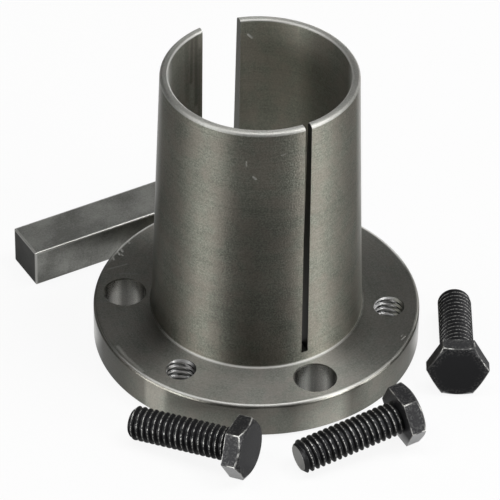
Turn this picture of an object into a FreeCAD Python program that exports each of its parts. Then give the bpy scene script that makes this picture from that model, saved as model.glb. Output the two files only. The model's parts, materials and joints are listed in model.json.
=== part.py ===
import FreeCAD, Part
import math
import os
import Sketcher

# Flanged taper bushing with its key and its three cap screws.
# The frame's origin is on the bore's axis, in the plane of the flange's outer face.
# +Z runs up the barrel, and the keyway is on the +Y side.

doc = FreeCAD.newDocument("FlangedTaperBushing")
sheet = doc.addObject("Spreadsheet::Sheet", "sizes")

# Driving dimensions in millimetres, millimetres of diameter per millimetre, or degrees.
SIZES = {
    "bore_diameter": 41.275,
    "bore_edge": 0.35,
    "bushing_length": 74.6,
    "barrel_wall": 3.9625,
    "taper_ratio": 0.0625,
    "root_radius": 0.6,
    "nose_radius": 0.75,
    "flange_thickness": 9.1,
    "flange_rim": 7.15,
    "flange_edge": 0.6,
    "hole_play": 1.59,
    "hole_edge": 0.25,
    "tap_edge": 0.18,
    "slit_width": 1.6,
    "slit_foot": 2.7,
    "slit_angle": 270.9,
    "slit_lean": 0.67,
    "key_width": 9.525,
    "key_height": 11.11,
    "key_length": 63.5,
    "key_edge": 0.3,
    "key_play": 0.03,
    "keyway_margin": 0.4,
    "screw_diameter": 7.94,
    "thread_pitch": 1.41,
    "screw_length": 25.4,
    "tip_edge": 0.9,
    "head_across": 12.7,
    "head_height": 4.1,
    "head_face_inset": 0.35,
    "head_bevel_angle": 30.0,
    "overcut": 0.5,
    # where the loose pieces lie: angle round the bushing, gap to its rim, shift along the rim
    "key_angle": 94.0,
    "key_gap": 1.4,
    "key_shift": 5.95,
    "left_screw_angle": 219.6,
    "left_screw_gap": 0.65,
    "left_screw_shift": 3.0,
    "front_screw_angle": 271.5,
    "front_screw_gap": 3.1,
    "front_screw_shift": -1.7,
    "right_screw_angle": 333.7,
    "right_screw_gap": 1.2,
    "right_screw_shift": -5.6,
}

# Sizes that follow from those above: the wall sets the taper, the screw heads just clear the
# barrel on their bolt circle, and the flange's rim stands outside that circle.
DERIVED = {
    "taper_diameter": "=bore_diameter + 2 * barrel_wall",
    "nose_diameter": "=taper_diameter - taper_ratio * (bushing_length - flange_thickness)",
    "bolt_circle": "=taper_diameter + head_across",
    "flange_diameter": "=bolt_circle + 2 * flange_rim",
    "head_face": "=head_across - 2 * head_face_inset",
}

# Two places closer than this, in millimetres, are the same place.
SAME_PLACE = 1e-4

for row, (alias, value) in enumerate((SIZES | DERIVED).items(), start=1):
    sheet.set("A%d" % row, alias.replace("_", " "))
    sheet.set("B%d" % row, str(value))
    sheet.setAlias("B%d" % row, alias)
doc.recompute()


def size(alias):
    """The number that the sheet holds under this alias."""
    return float(sheet.get(alias))


def new_body(name):
    body = doc.addObject("PartDesign::Body", name)
    body.Label = name
    return body


def origin_feature(body, role):
    return next(item for item in body.Origin.OriginFeatures if item.Role == role)


def new_sketch(body, name, plane):
    sketch = body.newObject("Sketcher::SketchObject", name)
    sketch.AttachmentSupport = [(origin_feature(body, plane), "")]
    sketch.MapMode = "FlatFace"
    return sketch


def draw_outline(sketch, corners):
    """Closed outline through corners, each a pair of expressions in the sheet's sizes."""
    places = [tuple(float(sketch.evalExpression(part)) for part in corner) for corner in corners]
    first = sketch.GeometryCount
    count = len(places)
    for index, start in enumerate(places):
        end = places[(index + 1) % count]
        line = Part.LineSegment(FreeCAD.Vector(*start, 0), FreeCAD.Vector(*end, 0))
        sketch.addGeometry(line, False)
    for index in range(count):
        following = first + (index + 1) % count
        sketch.addConstraint(Sketcher.Constraint("Coincident", first + index, 2, following, 1))
    for index, (corner, place) in enumerate(zip(corners, places)):
        for kind, axis, text, number in (
            ("DistanceX", -2, corner[0], place[0]),
            ("DistanceY", -1, corner[1], place[1]),
        ):
            if text == "0":
                sketch.addConstraint(Sketcher.Constraint("PointOnObject", first + index, 1, axis))
                continue
            held = Sketcher.Constraint(kind, -1, 1, first + index, 1, number)
            held = sketch.addConstraint(held)
            sketch.setExpression("Constraints[%d]" % held, text)


def draw_axis(sketch, x, low, high):
    """Upright construction line at x, for a cut that turns about it."""
    start, end = ((x, low), (x, high))
    places = [tuple(float(sketch.evalExpression(part)) for part in point) for point in (start, end)]
    line = Part.LineSegment(FreeCAD.Vector(*places[0], 0), FreeCAD.Vector(*places[1], 0))
    index = sketch.addGeometry(line, True)
    sketch.addConstraint(Sketcher.Constraint("Vertical", index))
    for kind, point, text, number in (
        ("DistanceX", 1, x, places[0][0]),
        ("DistanceY", 1, low, places[0][1]),
        ("DistanceY", 2, high, places[1][1]),
    ):
        held = sketch.addConstraint(Sketcher.Constraint(kind, -1, 1, index, point, number))
        sketch.setExpression("Constraints[%d]" % held, text)


def circle_edges(feature, radius, height):
    """Names of the feature's round edges about Z with this radius at this height."""
    names = []
    for number, edge in enumerate(feature.Shape.Edges, start=1):
        curve = edge.Curve
        if not isinstance(curve, Part.Circle):
            continue
        if abs(curve.Radius - radius) < SAME_PLACE and abs(curve.Center.z - height) < SAME_PLACE:
            names.append("Edge%d" % number)
    if not names:
        raise RuntimeError("no round edge of radius %.3f at height %.3f" % (radius, height))
    return names


def turn(body, kind, name, sketch, axis):
    """Revolution or groove of a whole turn about one of the sketch's own lines."""
    feature = body.newObject("PartDesign::" + kind, name)
    feature.Profile = sketch
    feature.ReferenceAxis = (sketch, [axis])
    feature.Angle = 360
    doc.recompute()
    return feature


def soften(body, kind, name, base, rings, width):
    """Fillet or chamfer on round edges, given as pairs of radius and height."""
    names = [edge for radius, height in rings for edge in circle_edges(base, radius, height)]
    feature = body.newObject("PartDesign::" + kind, name)
    feature.Base = (base, names)
    feature.setExpression("Radius" if kind == "Fillet" else "Size", width)
    doc.recompute()
    return feature


def cut_upward(body, name, sketch, length=None):
    """Pocket from the sketch towards +Z, right through or to a length."""
    before = body.Shape.Volume
    feature = body.newObject("PartDesign::Pocket", name)
    feature.Profile = sketch
    feature.Reversed = True
    if length:
        feature.Type = "Length"
        feature.setExpression("Length", length)
    else:
        feature.Type = "ThroughAll"
    doc.recompute()
    if feature.Shape.Volume > before - 1:
        raise RuntimeError(name + " cuts nothing")
    return feature


def drill_three(body, name, place, radius, edge):
    """Three through holes round the bolt circle with both mouths bevelled."""
    sketch = new_sketch(body, name + "_section", "YZ_Plane")
    side = "(%s + %s + sizes.overcut)" % (radius, edge)
    top = "sizes.flange_thickness"
    draw_outline(sketch, [
        (place, "-sizes.overcut"),
        ("%s + %s" % (place, side), "-sizes.overcut"),
        ("%s + %s" % (place, radius), edge),
        ("%s + %s" % (place, radius), "%s - %s" % (top, edge)),
        ("%s + %s" % (place, side), top + " + sizes.overcut"),
        (place, top + " + sizes.overcut"),
    ])
    draw_axis(sketch, place, "-sizes.overcut", top + " + sizes.overcut")
    before = body.Shape.Volume
    hole = turn(body, "Groove", name, sketch, "Axis0")
    one = before - hole.Shape.Volume
    pattern = body.newObject("PartDesign::PolarPattern", name + "_pattern")
    pattern.Originals = [hole]
    pattern.Axis = (origin_feature(body, "Z_Axis"), [""])
    pattern.Angle = 360
    pattern.Occurrences = 3
    body.Tip = pattern
    doc.recompute()
    if abs(before - pattern.Shape.Volume - 3 * one) > 0.01 * one:
        raise RuntimeError(name + " is not three whole holes")


def build_bushing():
    """The one-piece bushing: a turned flange and taper barrel, keyed, slit and drilled."""
    body = new_body("bushing")

    # the turned section: flange, taper barrel and bore
    section = new_sketch(body, "turned_section", "XZ_Plane")
    draw_outline(section, [
        ("sizes.bore_diameter / 2", "0"),
        ("sizes.flange_diameter / 2", "0"),
        ("sizes.flange_diameter / 2", "sizes.flange_thickness"),
        ("sizes.taper_diameter / 2", "sizes.flange_thickness"),
        ("sizes.nose_diameter / 2", "sizes.bushing_length"),
        ("sizes.bore_diameter / 2", "sizes.bushing_length"),
    ])
    turned = turn(body, "Revolution", "turned", section, "V_Axis")

    flange_radius = size("flange_diameter") / 2
    thickness = size("flange_thickness")
    length = size("bushing_length")
    bore_radius = size("bore_diameter") / 2
    root = soften(body, "Fillet", "root", turned,
                  [(size("taper_diameter") / 2, thickness)], "sizes.root_radius")
    nose_round = soften(body, "Fillet", "nose_round", root,
                        [(size("nose_diameter") / 2, length)], "sizes.nose_radius")
    rim = soften(body, "Chamfer", "rim", nose_round,
                 [(flange_radius, thickness), (flange_radius, 0)], "sizes.flange_edge")
    soften(body, "Chamfer", "bore_mouths", rim,
           [(bore_radius, 0), (bore_radius, length)], "sizes.bore_edge")

    # the keyway runs the whole length, and right through the thin wall of the barrel
    keyway = new_sketch(body, "keyway_outline", "XY_Plane")
    half = "(sizes.key_width + sizes.key_play) / 2"
    reach = "sizes.taper_diameter / 2 + sizes.keyway_margin"
    draw_outline(keyway, [("-" + half, "0"), (half, "0"), (half, reach), ("-" + half, reach)])
    cut_upward(body, "keyway", keyway)

    # the saw slit stops above the flange, which stays whole, and leans a little aside as it rises
    slit = new_sketch(body, "slit_outline", "XY_Plane")
    aimed = FreeCAD.Rotation(FreeCAD.Vector(0, 0, 1), size("slit_angle"))
    leaning = FreeCAD.Rotation(FreeCAD.Vector(1, 0, 0), -size("slit_lean"))
    foot = FreeCAD.Vector(0, 0, thickness + size("slit_foot"))
    slit.AttachmentOffset = FreeCAD.Placement(foot, aimed * leaning)
    inside = "sizes.bore_diameter / 4"
    outside = "sizes.taper_diameter / 2 + sizes.overcut"
    half = "sizes.slit_width / 2"
    draw_outline(slit, [(inside, "-" + half), (outside, "-" + half), (outside, half), (inside, half)])
    cut_upward(body, "slit", slit, "sizes.bushing_length - sizes.flange_thickness")

    # plain holes for the cap screws start on the side away from the keyway
    drill_three(body, "clearance_hole", "-sizes.bolt_circle / 2",
                "(sizes.screw_diameter + sizes.hole_play) / 2", "sizes.hole_edge")
    # tapped holes for the jack-off screws start on the keyway's side, drilled to the thread's root
    drill_three(body, "tapped_hole", "sizes.bolt_circle / 2",
                "(sizes.screw_diameter - sizes.thread_pitch) / 2", "sizes.tap_edge")
    return body


def beside_flange(piece, half_width):
    """Place and direction of a loose piece that lies along the flange's rim."""
    side = math.radians(size(piece + "_angle"))
    distance = size("flange_diameter") / 2 + size(piece + "_gap") + half_width
    outward = FreeCAD.Vector(math.cos(side), math.sin(side), 0)
    along = FreeCAD.Vector(-math.sin(side), math.cos(side), 0)
    return outward * distance + along * size(piece + "_shift"), along


def build_key():
    """Drawn key bar, lying on its side behind the bushing."""
    body = new_body("key")
    section = new_sketch(body, "key_section", "YZ_Plane")
    half = "sizes.key_height / 2"
    top = "sizes.key_width"
    edge = "sizes.key_edge"
    draw_outline(section, [
        ("-%s + %s" % (half, edge), "0"),
        ("%s - %s" % (half, edge), "0"),
        (half, edge),
        (half, "%s - %s" % (top, edge)),
        ("%s - %s" % (half, edge), top),
        ("-%s + %s" % (half, edge), top),
        ("-" + half, "%s - %s" % (top, edge)),
        ("-" + half, edge),
    ])
    bar = body.newObject("PartDesign::Pad", "bar")
    bar.Profile = section
    bar.setExpression("Length", "sizes.key_length")
    doc.recompute()
    middle, along = beside_flange("key", size("key_height") / 2)
    turned = FreeCAD.Rotation(FreeCAD.Vector(1, 0, 0), along)
    # the bar starts at its own origin, so its middle is brought back onto the foot point
    body.Placement = FreeCAD.Placement(middle - along * size("key_length") / 2, turned)
    return body


def build_cap_screw(name, way):
    """Hexagon cap screw, lying on a flat of its head and the end of its thread."""
    body = new_body("cap_screw_" + name)

    # the head stands on the bearing plane, and the shank hangs below it
    hexagon = new_sketch(body, name + "_head_outline", "XY_Plane")
    corner = "sizes.head_across / sqrt(3)"
    flat = "sizes.head_across / 2"
    draw_outline(hexagon, [
        (corner, "0"),
        (corner + " / 2", flat),
        ("-%s / 2" % corner, flat),
        ("-" + corner, "0"),
        ("-%s / 2" % corner, "-" + flat),
        (corner + " / 2", "-" + flat),
    ])
    head = body.newObject("PartDesign::Pad", name + "_head")
    head.Profile = hexagon
    head.setExpression("Length", "sizes.head_height")
    doc.recompute()

    bevel = new_sketch(body, name + "_bevel_section", "XZ_Plane")
    outside = "(%s + sizes.overcut)" % corner
    drop = "(%s - sizes.head_face / 2) * tan(sizes.head_bevel_angle * 1 deg)" % outside
    draw_outline(bevel, [
        ("sizes.head_face / 2", "sizes.head_height"),
        (outside, "sizes.head_height - " + drop),
        (outside, "sizes.head_height"),
    ])
    turn(body, "Groove", name + "_bevel", bevel, "V_Axis")

    shank = new_sketch(body, name + "_shank_section", "XZ_Plane")
    draw_outline(shank, [
        ("0", "0"),
        ("sizes.screw_diameter / 2", "0"),
        ("sizes.screw_diameter / 2", "-sizes.screw_length + sizes.tip_edge"),
        ("sizes.screw_diameter / 2 - sizes.tip_edge", "-sizes.screw_length"),
        ("0", "-sizes.screw_length"),
    ])
    turn(body, "Revolution", name + "_shank", shank, "V_Axis")

    # a flat's inner edge and the last full turn of the thread touch the ground
    flat = size("head_across") / 2
    thread = size("screw_diameter") / 2
    lean = math.atan2(flat - thread, size("screw_length") - size("tip_edge"))
    widest = size("head_across") / math.sqrt(3)
    middle, along = beside_flange(name + "_screw", widest)
    to_head = along * way
    raised = FreeCAD.Vector(0, 0, 1)
    axis = to_head * math.cos(lean) + raised * math.sin(lean)
    upward = raised * math.cos(lean) - to_head * math.sin(lean)
    seat = middle + to_head * (size("screw_length") / 2) + raised * (flat * math.cos(lean))
    body.Placement = FreeCAD.Placement(seat, FreeCAD.Rotation(upward.cross(axis), upward, axis))
    return body


bodies = [
    build_bushing(),
    build_key(),
    build_cap_screw("left", 1),
    build_cap_screw("front", 1),
    build_cap_screw("right", -1),
]
doc.recompute()

for item in doc.Objects:
    if "Invalid" in item.State or "Error" in item.State:
        raise RuntimeError("%s did not build: %s" % (item.Name, item.State))

os.makedirs("parts", exist_ok=True)
for body in bodies:
    shape = body.Shape
    if shape.isNull() or not shape.isValid() or len(shape.Solids) != 1:
        raise RuntimeError(body.Label + " is not one sound solid")
    shape.exportStep("parts/%s.step" % body.Label)
    box = shape.BoundBox
    print("%-16s %9.1f mm3, x %.2f to %.2f, y %.2f to %.2f, z %.2f to %.2f" % (
        body.Label, shape.Volume, box.XMin, box.XMax, box.YMin, box.YMax, box.ZMin, box.ZMax))
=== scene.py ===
import json
import math

import bmesh
import bpy
from bpy.props import FloatProperty, FloatVectorProperty, IntProperty, PointerProperty
from mathutils import Matrix, Vector


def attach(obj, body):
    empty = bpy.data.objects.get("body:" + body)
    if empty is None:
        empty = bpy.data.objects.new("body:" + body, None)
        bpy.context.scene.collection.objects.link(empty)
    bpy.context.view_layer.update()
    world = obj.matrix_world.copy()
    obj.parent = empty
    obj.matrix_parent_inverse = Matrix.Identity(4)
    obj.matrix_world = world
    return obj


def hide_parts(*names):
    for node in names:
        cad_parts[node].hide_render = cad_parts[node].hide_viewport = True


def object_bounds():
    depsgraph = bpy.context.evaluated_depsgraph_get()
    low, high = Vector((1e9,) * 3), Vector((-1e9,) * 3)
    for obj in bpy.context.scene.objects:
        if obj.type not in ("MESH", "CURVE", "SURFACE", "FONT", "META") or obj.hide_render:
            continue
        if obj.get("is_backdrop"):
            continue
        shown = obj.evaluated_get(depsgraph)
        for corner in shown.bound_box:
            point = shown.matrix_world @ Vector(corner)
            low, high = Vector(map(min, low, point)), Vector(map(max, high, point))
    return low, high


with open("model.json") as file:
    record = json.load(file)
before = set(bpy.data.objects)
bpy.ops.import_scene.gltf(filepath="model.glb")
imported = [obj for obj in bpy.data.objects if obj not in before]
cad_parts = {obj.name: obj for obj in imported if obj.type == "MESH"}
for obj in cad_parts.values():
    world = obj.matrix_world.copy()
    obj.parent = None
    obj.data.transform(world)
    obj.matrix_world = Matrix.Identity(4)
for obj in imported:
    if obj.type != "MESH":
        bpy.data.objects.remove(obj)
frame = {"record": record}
CAD_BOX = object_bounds()
MOUNTS = {mount["name"]: mount["dims"] for mount in frame["record"]["mounts"]}
MM = 0.001
FLANGE_TOP = 9.1

bl_info = {
    "name": "Flanged Taper Bushing",
    "version": (1, 0, 0),
    "blender": (4, 5, 0),
    "location": "3D View > Sidebar > Bushing",
    "description": "Flanged taper bushing with its drawn key and its three cap screws",
    "category": "Object",
}


def in_mm(name, description, millimetres):
    return FloatProperty(name=name, description=description, default=millimetres * MM,
                         unit="LENGTH", subtype="DISTANCE", precision=6)


def in_degrees(name, description, degrees):
    return FloatProperty(name=name, description=description, default=math.radians(degrees),
                         unit="ROTATION", subtype="ANGLE")


def plain_number(name, description, number):
    return FloatProperty(name=name, description=description, default=number)


def in_colour(name, description, colour):
    return FloatVectorProperty(name=name, description=description, default=colour, size=3,
                               subtype="COLOR", min=0.0, max=1.0)


class BushingSizes(bpy.types.PropertyGroup):
    """Sizes of the turned bushing"""
    bore_radius: in_mm("Bore radius", "Radius of the keyed bore", MOUNTS["bore"]["r_mm"])
    bore_bevel: in_mm("Bore bevel", "Bevel at both mouths of the bore", 0.35)
    total_length: in_mm("Length", "From the flange's outer face to the nose", 74.6)
    taper_radius: in_mm("Taper radius", "Radius of the barrel where it meets the flange", 24.6)
    taper_slope: plain_number("Taper slope", "Loss of radius per unit of length", 0.03125)
    root_radius: in_mm("Root radius", "Fillet between the barrel and the flange", 0.6)
    nose_radius: in_mm("Nose radius", "Rounding outside the nose", 0.75)
    flange_radius: in_mm("Flange radius", "Radius of the flange's rim", 38.1)
    flange_thickness: in_mm("Flange thickness", "Thickness of the flange", FLANGE_TOP)
    flange_bevel: in_mm("Flange bevel", "Bevel at both edges of the rim", 0.6)
    edge_break: in_mm("Edge break", "Softening left on each turned corner", 0.1)
    rim_break: in_mm("Rim break", "Softening of the rim's upper bevel", 0.27)
    keyway_width: in_mm("Keyway width", "Width of the keyway", 9.555)
    keyway_reach: in_mm("Keyway reach", "From the axis to the keyway's floor", 25.0)
    slit_width: in_mm("Slit width", "Width of the saw slit", 1.6)
    slit_foot: in_mm("Slit foot", "Height of the slit's end above the flange", 2.7)
    slit_angle: in_degrees("Slit angle", "Place of the slit's foot round the barrel", 270.9)
    slit_lean: in_degrees("Slit lean", "How far the slit leans aside as it rises", 0.67)
    bolt_circle: in_mm("Bolt circle", "Radius of the circle of holes",
                       MOUNTS["clearance_holes"]["pcd_mm"] / 2)
    clearance_radius: in_mm("Clearance hole radius", "Radius of the plain holes",
                            MOUNTS["clearance_holes"]["hole_r_mm"])
    clearance_bevel: in_mm("Clearance hole bevel", "Bevel at the plain holes' mouths", 0.25)
    clearance_flare: in_mm("Clearance hole flare", "How far its cutter passes the bevels", 0.4)
    tap_bevel_radius: in_mm("Tapped hole mouth", "Outer radius of its bevel", 3.50)
    tap_cone_radius: in_mm("Tapped hole cone", "Radius at which its bevel's cone ends", 2.5)


class ThreadSizes(bpy.types.PropertyGroup):
    """Sizes of the screw thread, for the screws and for the tapped holes"""
    outer_radius: in_mm("Outer radius", "Radius over the crests", 3.95)
    root_radius: in_mm("Root radius", "Radius at the screw's thread root", 3.2)
    pitch: in_mm("Pitch", "Distance from crest to crest", 1.41)
    crest_width: in_mm("Crest width", "Flat left on each crest", 0.2)
    root_width: in_mm("Root width", "Flat at the bottom of each groove", 0.3)
    tapped_radius: in_mm("Tapped radius", "Radius inside the tapped hole's crests",
                         MOUNTS["tapped_holes"]["hole_r_mm"])
    tapped_depth: in_mm("Tapped depth", "Depth of the tapped thread's grooves", 0.50)
    tapped_groove: in_mm("Tapped groove", "Flat at the bottom of its grooves", 0.25)
    tapped_crest: in_mm("Tapped crest", "Flat left on its crests", 0.35)
    steps: IntProperty(name="Steps per turn", description="Sides of one turn of the thread",
                       default=72, min=12)


class ScrewSizes(bpy.types.PropertyGroup):
    """Sizes of the hexagon cap screws"""
    length: in_mm("Length", "From under the head to the end", 25.4)
    tip_bevel: in_mm("Tip bevel", "Bevel at the end of the thread", 0.9)
    head_across: in_mm("Across flats", "Width of the hexagon head", 12.7)
    head_height: in_mm("Head height", "Height of the hexagon head", 4.1)
    head_face: in_mm("Head face", "Diameter of the head's round top face", 12.0)
    head_bevel: in_degrees("Head bevel", "Slope of the bevel on the head's corners", 30.0)
    edge_break: in_mm("Edge break", "Softening of the head's edges", 0.13)


class KeySizes(bpy.types.PropertyGroup):
    """Sizes of the drawn key"""
    width: in_mm("Width", "Side that fits the keyway", 9.525)
    height: in_mm("Height", "Side that lies on the ground", 11.11)
    length: in_mm("Length", "Length of the bar", 63.5)
    edge: in_mm("Edge", "Rounding of the edges", 0.35)


class Finishes(bpy.types.PropertyGroup):
    """Colours of the finishes"""
    turned: in_colour("Turned steel", "Colour of the turned bushing", (0.330, 0.336, 0.282))
    turned_dark: in_colour("Turned steel, dark", "Its darker patches", (0.190, 0.193, 0.163))
    tinted: in_colour("Turned steel, tinted", "Faint reddish stains on it", (0.335, 0.285, 0.245))
    oily: in_colour("Oil", "Dark runs of oil on it", (0.020, 0.020, 0.015))
    drawn: in_colour("Drawn steel", "Colour of the key", (0.430, 0.432, 0.405))
    drawn_dark: in_colour("Drawn steel, dark", "Stains on the key", (0.225, 0.227, 0.210))
    oxide: in_colour("Black oxide", "Colour of the screws", (0.024, 0.024, 0.026))
    bare: in_colour("Bare steel", "Colour of rubbed edges and nicks", (0.800, 0.795, 0.760))


class StageSettings(bpy.types.PropertyGroup):
    """Camera and studio light"""
    turn: in_degrees("Turn", "Turn of the whole stage round the bushing's axis", -26.3)
    elevation: in_degrees("Elevation", "Height of the camera above the floor", 39.92)
    distance: in_mm("Distance", "From the camera to the flange's centre", 969.1)
    pan: in_degrees("Pan", "Camera turned aside from the axis", 0.13)
    tilt: in_degrees("Tilt", "Camera tilted from the flange's centre", -1.10)
    roll: in_degrees("Roll", "Camera rolled about its own axis", 0.83)
    lens: plain_number("Focal length", "Focal length in millimetres", 296.64)
    fill: plain_number("Fill", "Strength of the even light from all round", 0.02)
    softbox: in_mm("Softbox", "Side of each square lamp", 340.0)
    floor_white: plain_number("White floor", "Share of plain white that the camera sees in it", 0.90)
    floor_mirrored: plain_number("Mirrored floor", "Share of plain white that metal mirrors", 0.19)
    floor_near: plain_number("Mirrored floor, near", "The same close to the flange's rim", 0.40)
    floor_bounce: plain_number("Floor bounce", "Share of the light that it gives back", 0.25)


class BushingPart(bpy.types.PropertyGroup):
    """All sizes, finishes and settings of the part"""
    bushing: PointerProperty(type=BushingSizes)
    thread: PointerProperty(type=ThreadSizes)
    screw: PointerProperty(type=ScrewSizes)
    key: PointerProperty(type=KeySizes)
    finishes: PointerProperty(type=Finishes)
    stage: PointerProperty(type=StageSettings)


def settings():
    return bpy.context.scene.bushing_part


# Meshes

# Sides of the turned solids: the bushing, the holes and the threads' envelope, the tapped holes'
# mouths, and the blank of a screw's head
BUSHING_SIDES, HOLE_SIDES, MOUTH_SIDES, BLANK_SIDES = 288, 96, 72, 120
ARC_STEPS = 6


def new_object(name, data=None):
    """Object in the scene with this mesh, lamp or camera, or with an empty mesh."""
    piece = bpy.data.objects.new(name, data or bpy.data.meshes.new(name))
    bpy.context.scene.collection.objects.link(piece)
    return piece


def remove_object(piece):
    mesh = piece.data
    bpy.data.objects.remove(piece)
    bpy.data.meshes.remove(mesh)


def bake_modifiers(piece):
    """Turn the piece as its modifiers leave it into its own plain mesh."""
    depsgraph = bpy.context.evaluated_depsgraph_get()
    mesh = bpy.data.meshes.new_from_object(piece.evaluated_get(depsgraph), depsgraph=depsgraph)
    piece.modifiers.clear()
    old = piece.data
    piece.data = mesh
    bpy.data.meshes.remove(old)
    mesh.name = piece.name


def edit_mesh(mesh, change):
    """Run change on the mesh's bmesh and write it back."""
    bm = bmesh.new()
    bm.from_mesh(mesh)
    change(bm)
    bm.to_mesh(mesh)
    bm.free()


def combine(piece, other, operation):
    """Cut, join or intersect the piece with the other one, which is used up."""
    modifier = piece.modifiers.new("combine", "BOOLEAN")
    modifier.operation = operation
    modifier.solver = "EXACT"
    modifier.object = other
    bake_modifiers(piece)
    remove_object(other)
    if not piece.data.polygons:
        raise RuntimeError("%s is empty after %s" % (piece.name, operation))


def round_edges(piece, width, segments, limit=30.0):
    """Round the piece's edges that turn by more than the limit, in degrees."""
    bevel = piece.modifiers.new("edges", "BEVEL")
    bevel.width, bevel.segments, bevel.limit_method = width, segments, "ANGLE"
    bevel.angle_limit = math.radians(limit)
    bake_modifiers(piece)


def on_circle(radius, degrees):
    angle = math.radians(degrees)
    return radius * math.cos(angle), radius * math.sin(angle)


def rectangle(left, low, right, high):
    return [(left, low), (right, low), (right, high), (left, high)]


def arc(centre, radius, start, end, steps):
    """Points of an arc in the section's plane, angles in degrees."""
    points = []
    for step in range(steps + 1):
        x, y = on_circle(radius, start + (end - start) * step / steps)
        points.append((centre[0] + x, centre[1] + y))
    return points


def soften_corner(before, corner, after, width):
    """Three points that take a sharp corner off a section."""
    point = Vector(corner)
    back = (Vector(before) - point).normalized() * width
    on = (Vector(after) - point).normalized() * width
    # the share that lays a right angle's middle point on an arc
    middle = point + (back + on) * 0.29
    return [tuple(point + back), tuple(middle), tuple(point + on)]


def join_rings(bm, lower, upper):
    """Faces between two rings of points, triangles where a ring is one point repeated."""
    for step in range(len(lower)):
        following = (step + 1) % len(lower)
        corners = dict.fromkeys([lower[step], lower[following], upper[following], upper[step]])
        if len(corners) > 2:
            bm.faces.new(list(corners))


def solid(name, build):
    """New piece of the faces that build makes, all facing outwards."""
    def make(bm):
        build(bm)
        bmesh.ops.recalc_face_normals(bm, faces=bm.faces)
    piece = new_object(name)
    edit_mesh(piece.data, make)
    return piece


def lathe(name, section, steps):
    """Solid turned from a section of (radius, height) points, which may start and end on the axis."""
    def build(bm):
        rings = []
        for radius, height in section:
            if radius == 0:
                rings.append([bm.verts.new((0, 0, height))] * steps)
            else:
                rings.append([bm.verts.new((*on_circle(radius, 360 * step / steps), height))
                              for step in range(steps)])
        closing = [] if section[0][0] == 0 else rings[:1]
        for lower, upper in zip(rings, rings[1:] + closing):
            join_rings(bm, lower, upper)
    return solid(name, build)


def prism(name, outline, low, high):
    """Upright prism over an outline of (x, y) points."""
    def build(bm):
        lower, upper = ([bm.verts.new((x, y, z)) for x, y in outline] for z in (low, high))
        bm.faces.new(lower)
        bm.faces.new(upper)
        join_rings(bm, lower, upper)
    return solid(name, build)


def finish_surface(piece, sharp_angle=30.0):
    """Smooth shading that breaks at real edges and keeps large faces true."""
    def weld(bm):
        bmesh.ops.remove_doubles(bm, verts=bm.verts, dist=1e-7)
        bmesh.ops.dissolve_degenerate(bm, edges=bm.edges, dist=1e-8)
    edit_mesh(piece.data, weld)
    piece.data.polygons.foreach_set("use_smooth", [True] * len(piece.data.polygons))
    piece.data.set_sharp_from_angle(angle=math.radians(sharp_angle))
    weighted = piece.modifiers.new("true faces", "WEIGHTED_NORMAL")
    weighted.weight = 100
    weighted.keep_sharp = True
    bake_modifiers(piece)


# Nodes

VECTOR, GEOMETRY, OBJECT, MATERIAL = (
    "NodeSocketVector", "NodeSocketGeometry", "NodeSocketObject", "NodeSocketMaterial")
NUMBERS = {int: "NodeSocketInt", float: "NodeSocketFloat"}


class Nodes:
    """Short way to write a node tree: nodes by type, with their inputs in order or by name."""

    def __init__(self, tree):
        self.tree = tree

    def fill(self, socket, value):
        """Link an output to this input, or set it to a plain value."""
        if isinstance(value, bpy.types.NodeSocket):
            self.tree.links.new(value, socket)
        elif value is not None:
            socket.default_value = value

    def node(self, kind, *values, inputs=None, **options):
        """New node with its options set and its inputs filled, in order and by name."""
        node = self.tree.nodes.new(kind)
        for option, value in options.items():
            setattr(node, option, value)
        for socket, value in zip(node.inputs, values):
            self.fill(socket, value)
        for name, value in (inputs or {}).items():
            self.fill(node.inputs[name], value)
        return node

    def math(self, operation, *values, clamp=False):
        return self.node("ShaderNodeMath", *values, operation=operation, use_clamp=clamp).outputs[0]

    def add(self, first, second, clamp=False):
        return self.math("ADD", first, second, clamp=clamp)

    def subtract(self, first, second):
        return self.math("SUBTRACT", first, second)

    def times(self, first, second):
        return self.math("MULTIPLY", first, second)

    def divide(self, first, second):
        return self.math("DIVIDE", first, second)

    def most(self, first, second):
        return self.math("MAXIMUM", first, second)

    def least(self, first, second):
        return self.math("MINIMUM", first, second)

    def absolute(self, value):
        return self.math("ABSOLUTE", value)

    def hypotenuse(self, first, second):
        return self.math("SQRT", self.add(self.times(first, first), self.times(second, second)))

    def spread(self, value, low, high, start=0.0, stop=1.0):
        """Value from start to stop taken to the range from low to high, which it doesn't leave."""
        return self.node("ShaderNodeMapRange", value, start, stop, low, high).outputs[0]

    def between(self, value, start, full, fading, end):
        """1 from full to fading, and 0 up to start and from end on."""
        return self.least(self.spread(value, 0.0, 1.0, start, full),
                          self.spread(value, 1.0, 0.0, fading, end))

    def vector(self, operation, *values, **inputs):
        """Vector that the operation gives, or its number."""
        node = self.node("ShaderNodeVectorMath", *values, operation=operation, inputs=inputs)
        return node.outputs["Value" if operation in ("DOT_PRODUCT", "LENGTH", "DISTANCE") else "Vector"]

    def parts(self, vector):
        return self.node("ShaderNodeSeparateXYZ", vector).outputs

    def joined(self, *parts):
        return self.node("ShaderNodeCombineXYZ", *parts).outputs[0]

    def noise(self, place, scale, detail, roughness):
        return self.node("ShaderNodeTexNoise", inputs={
            "Vector": place, "Scale": scale, "Detail": detail, "Roughness": roughness}).outputs["Fac"]


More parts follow.
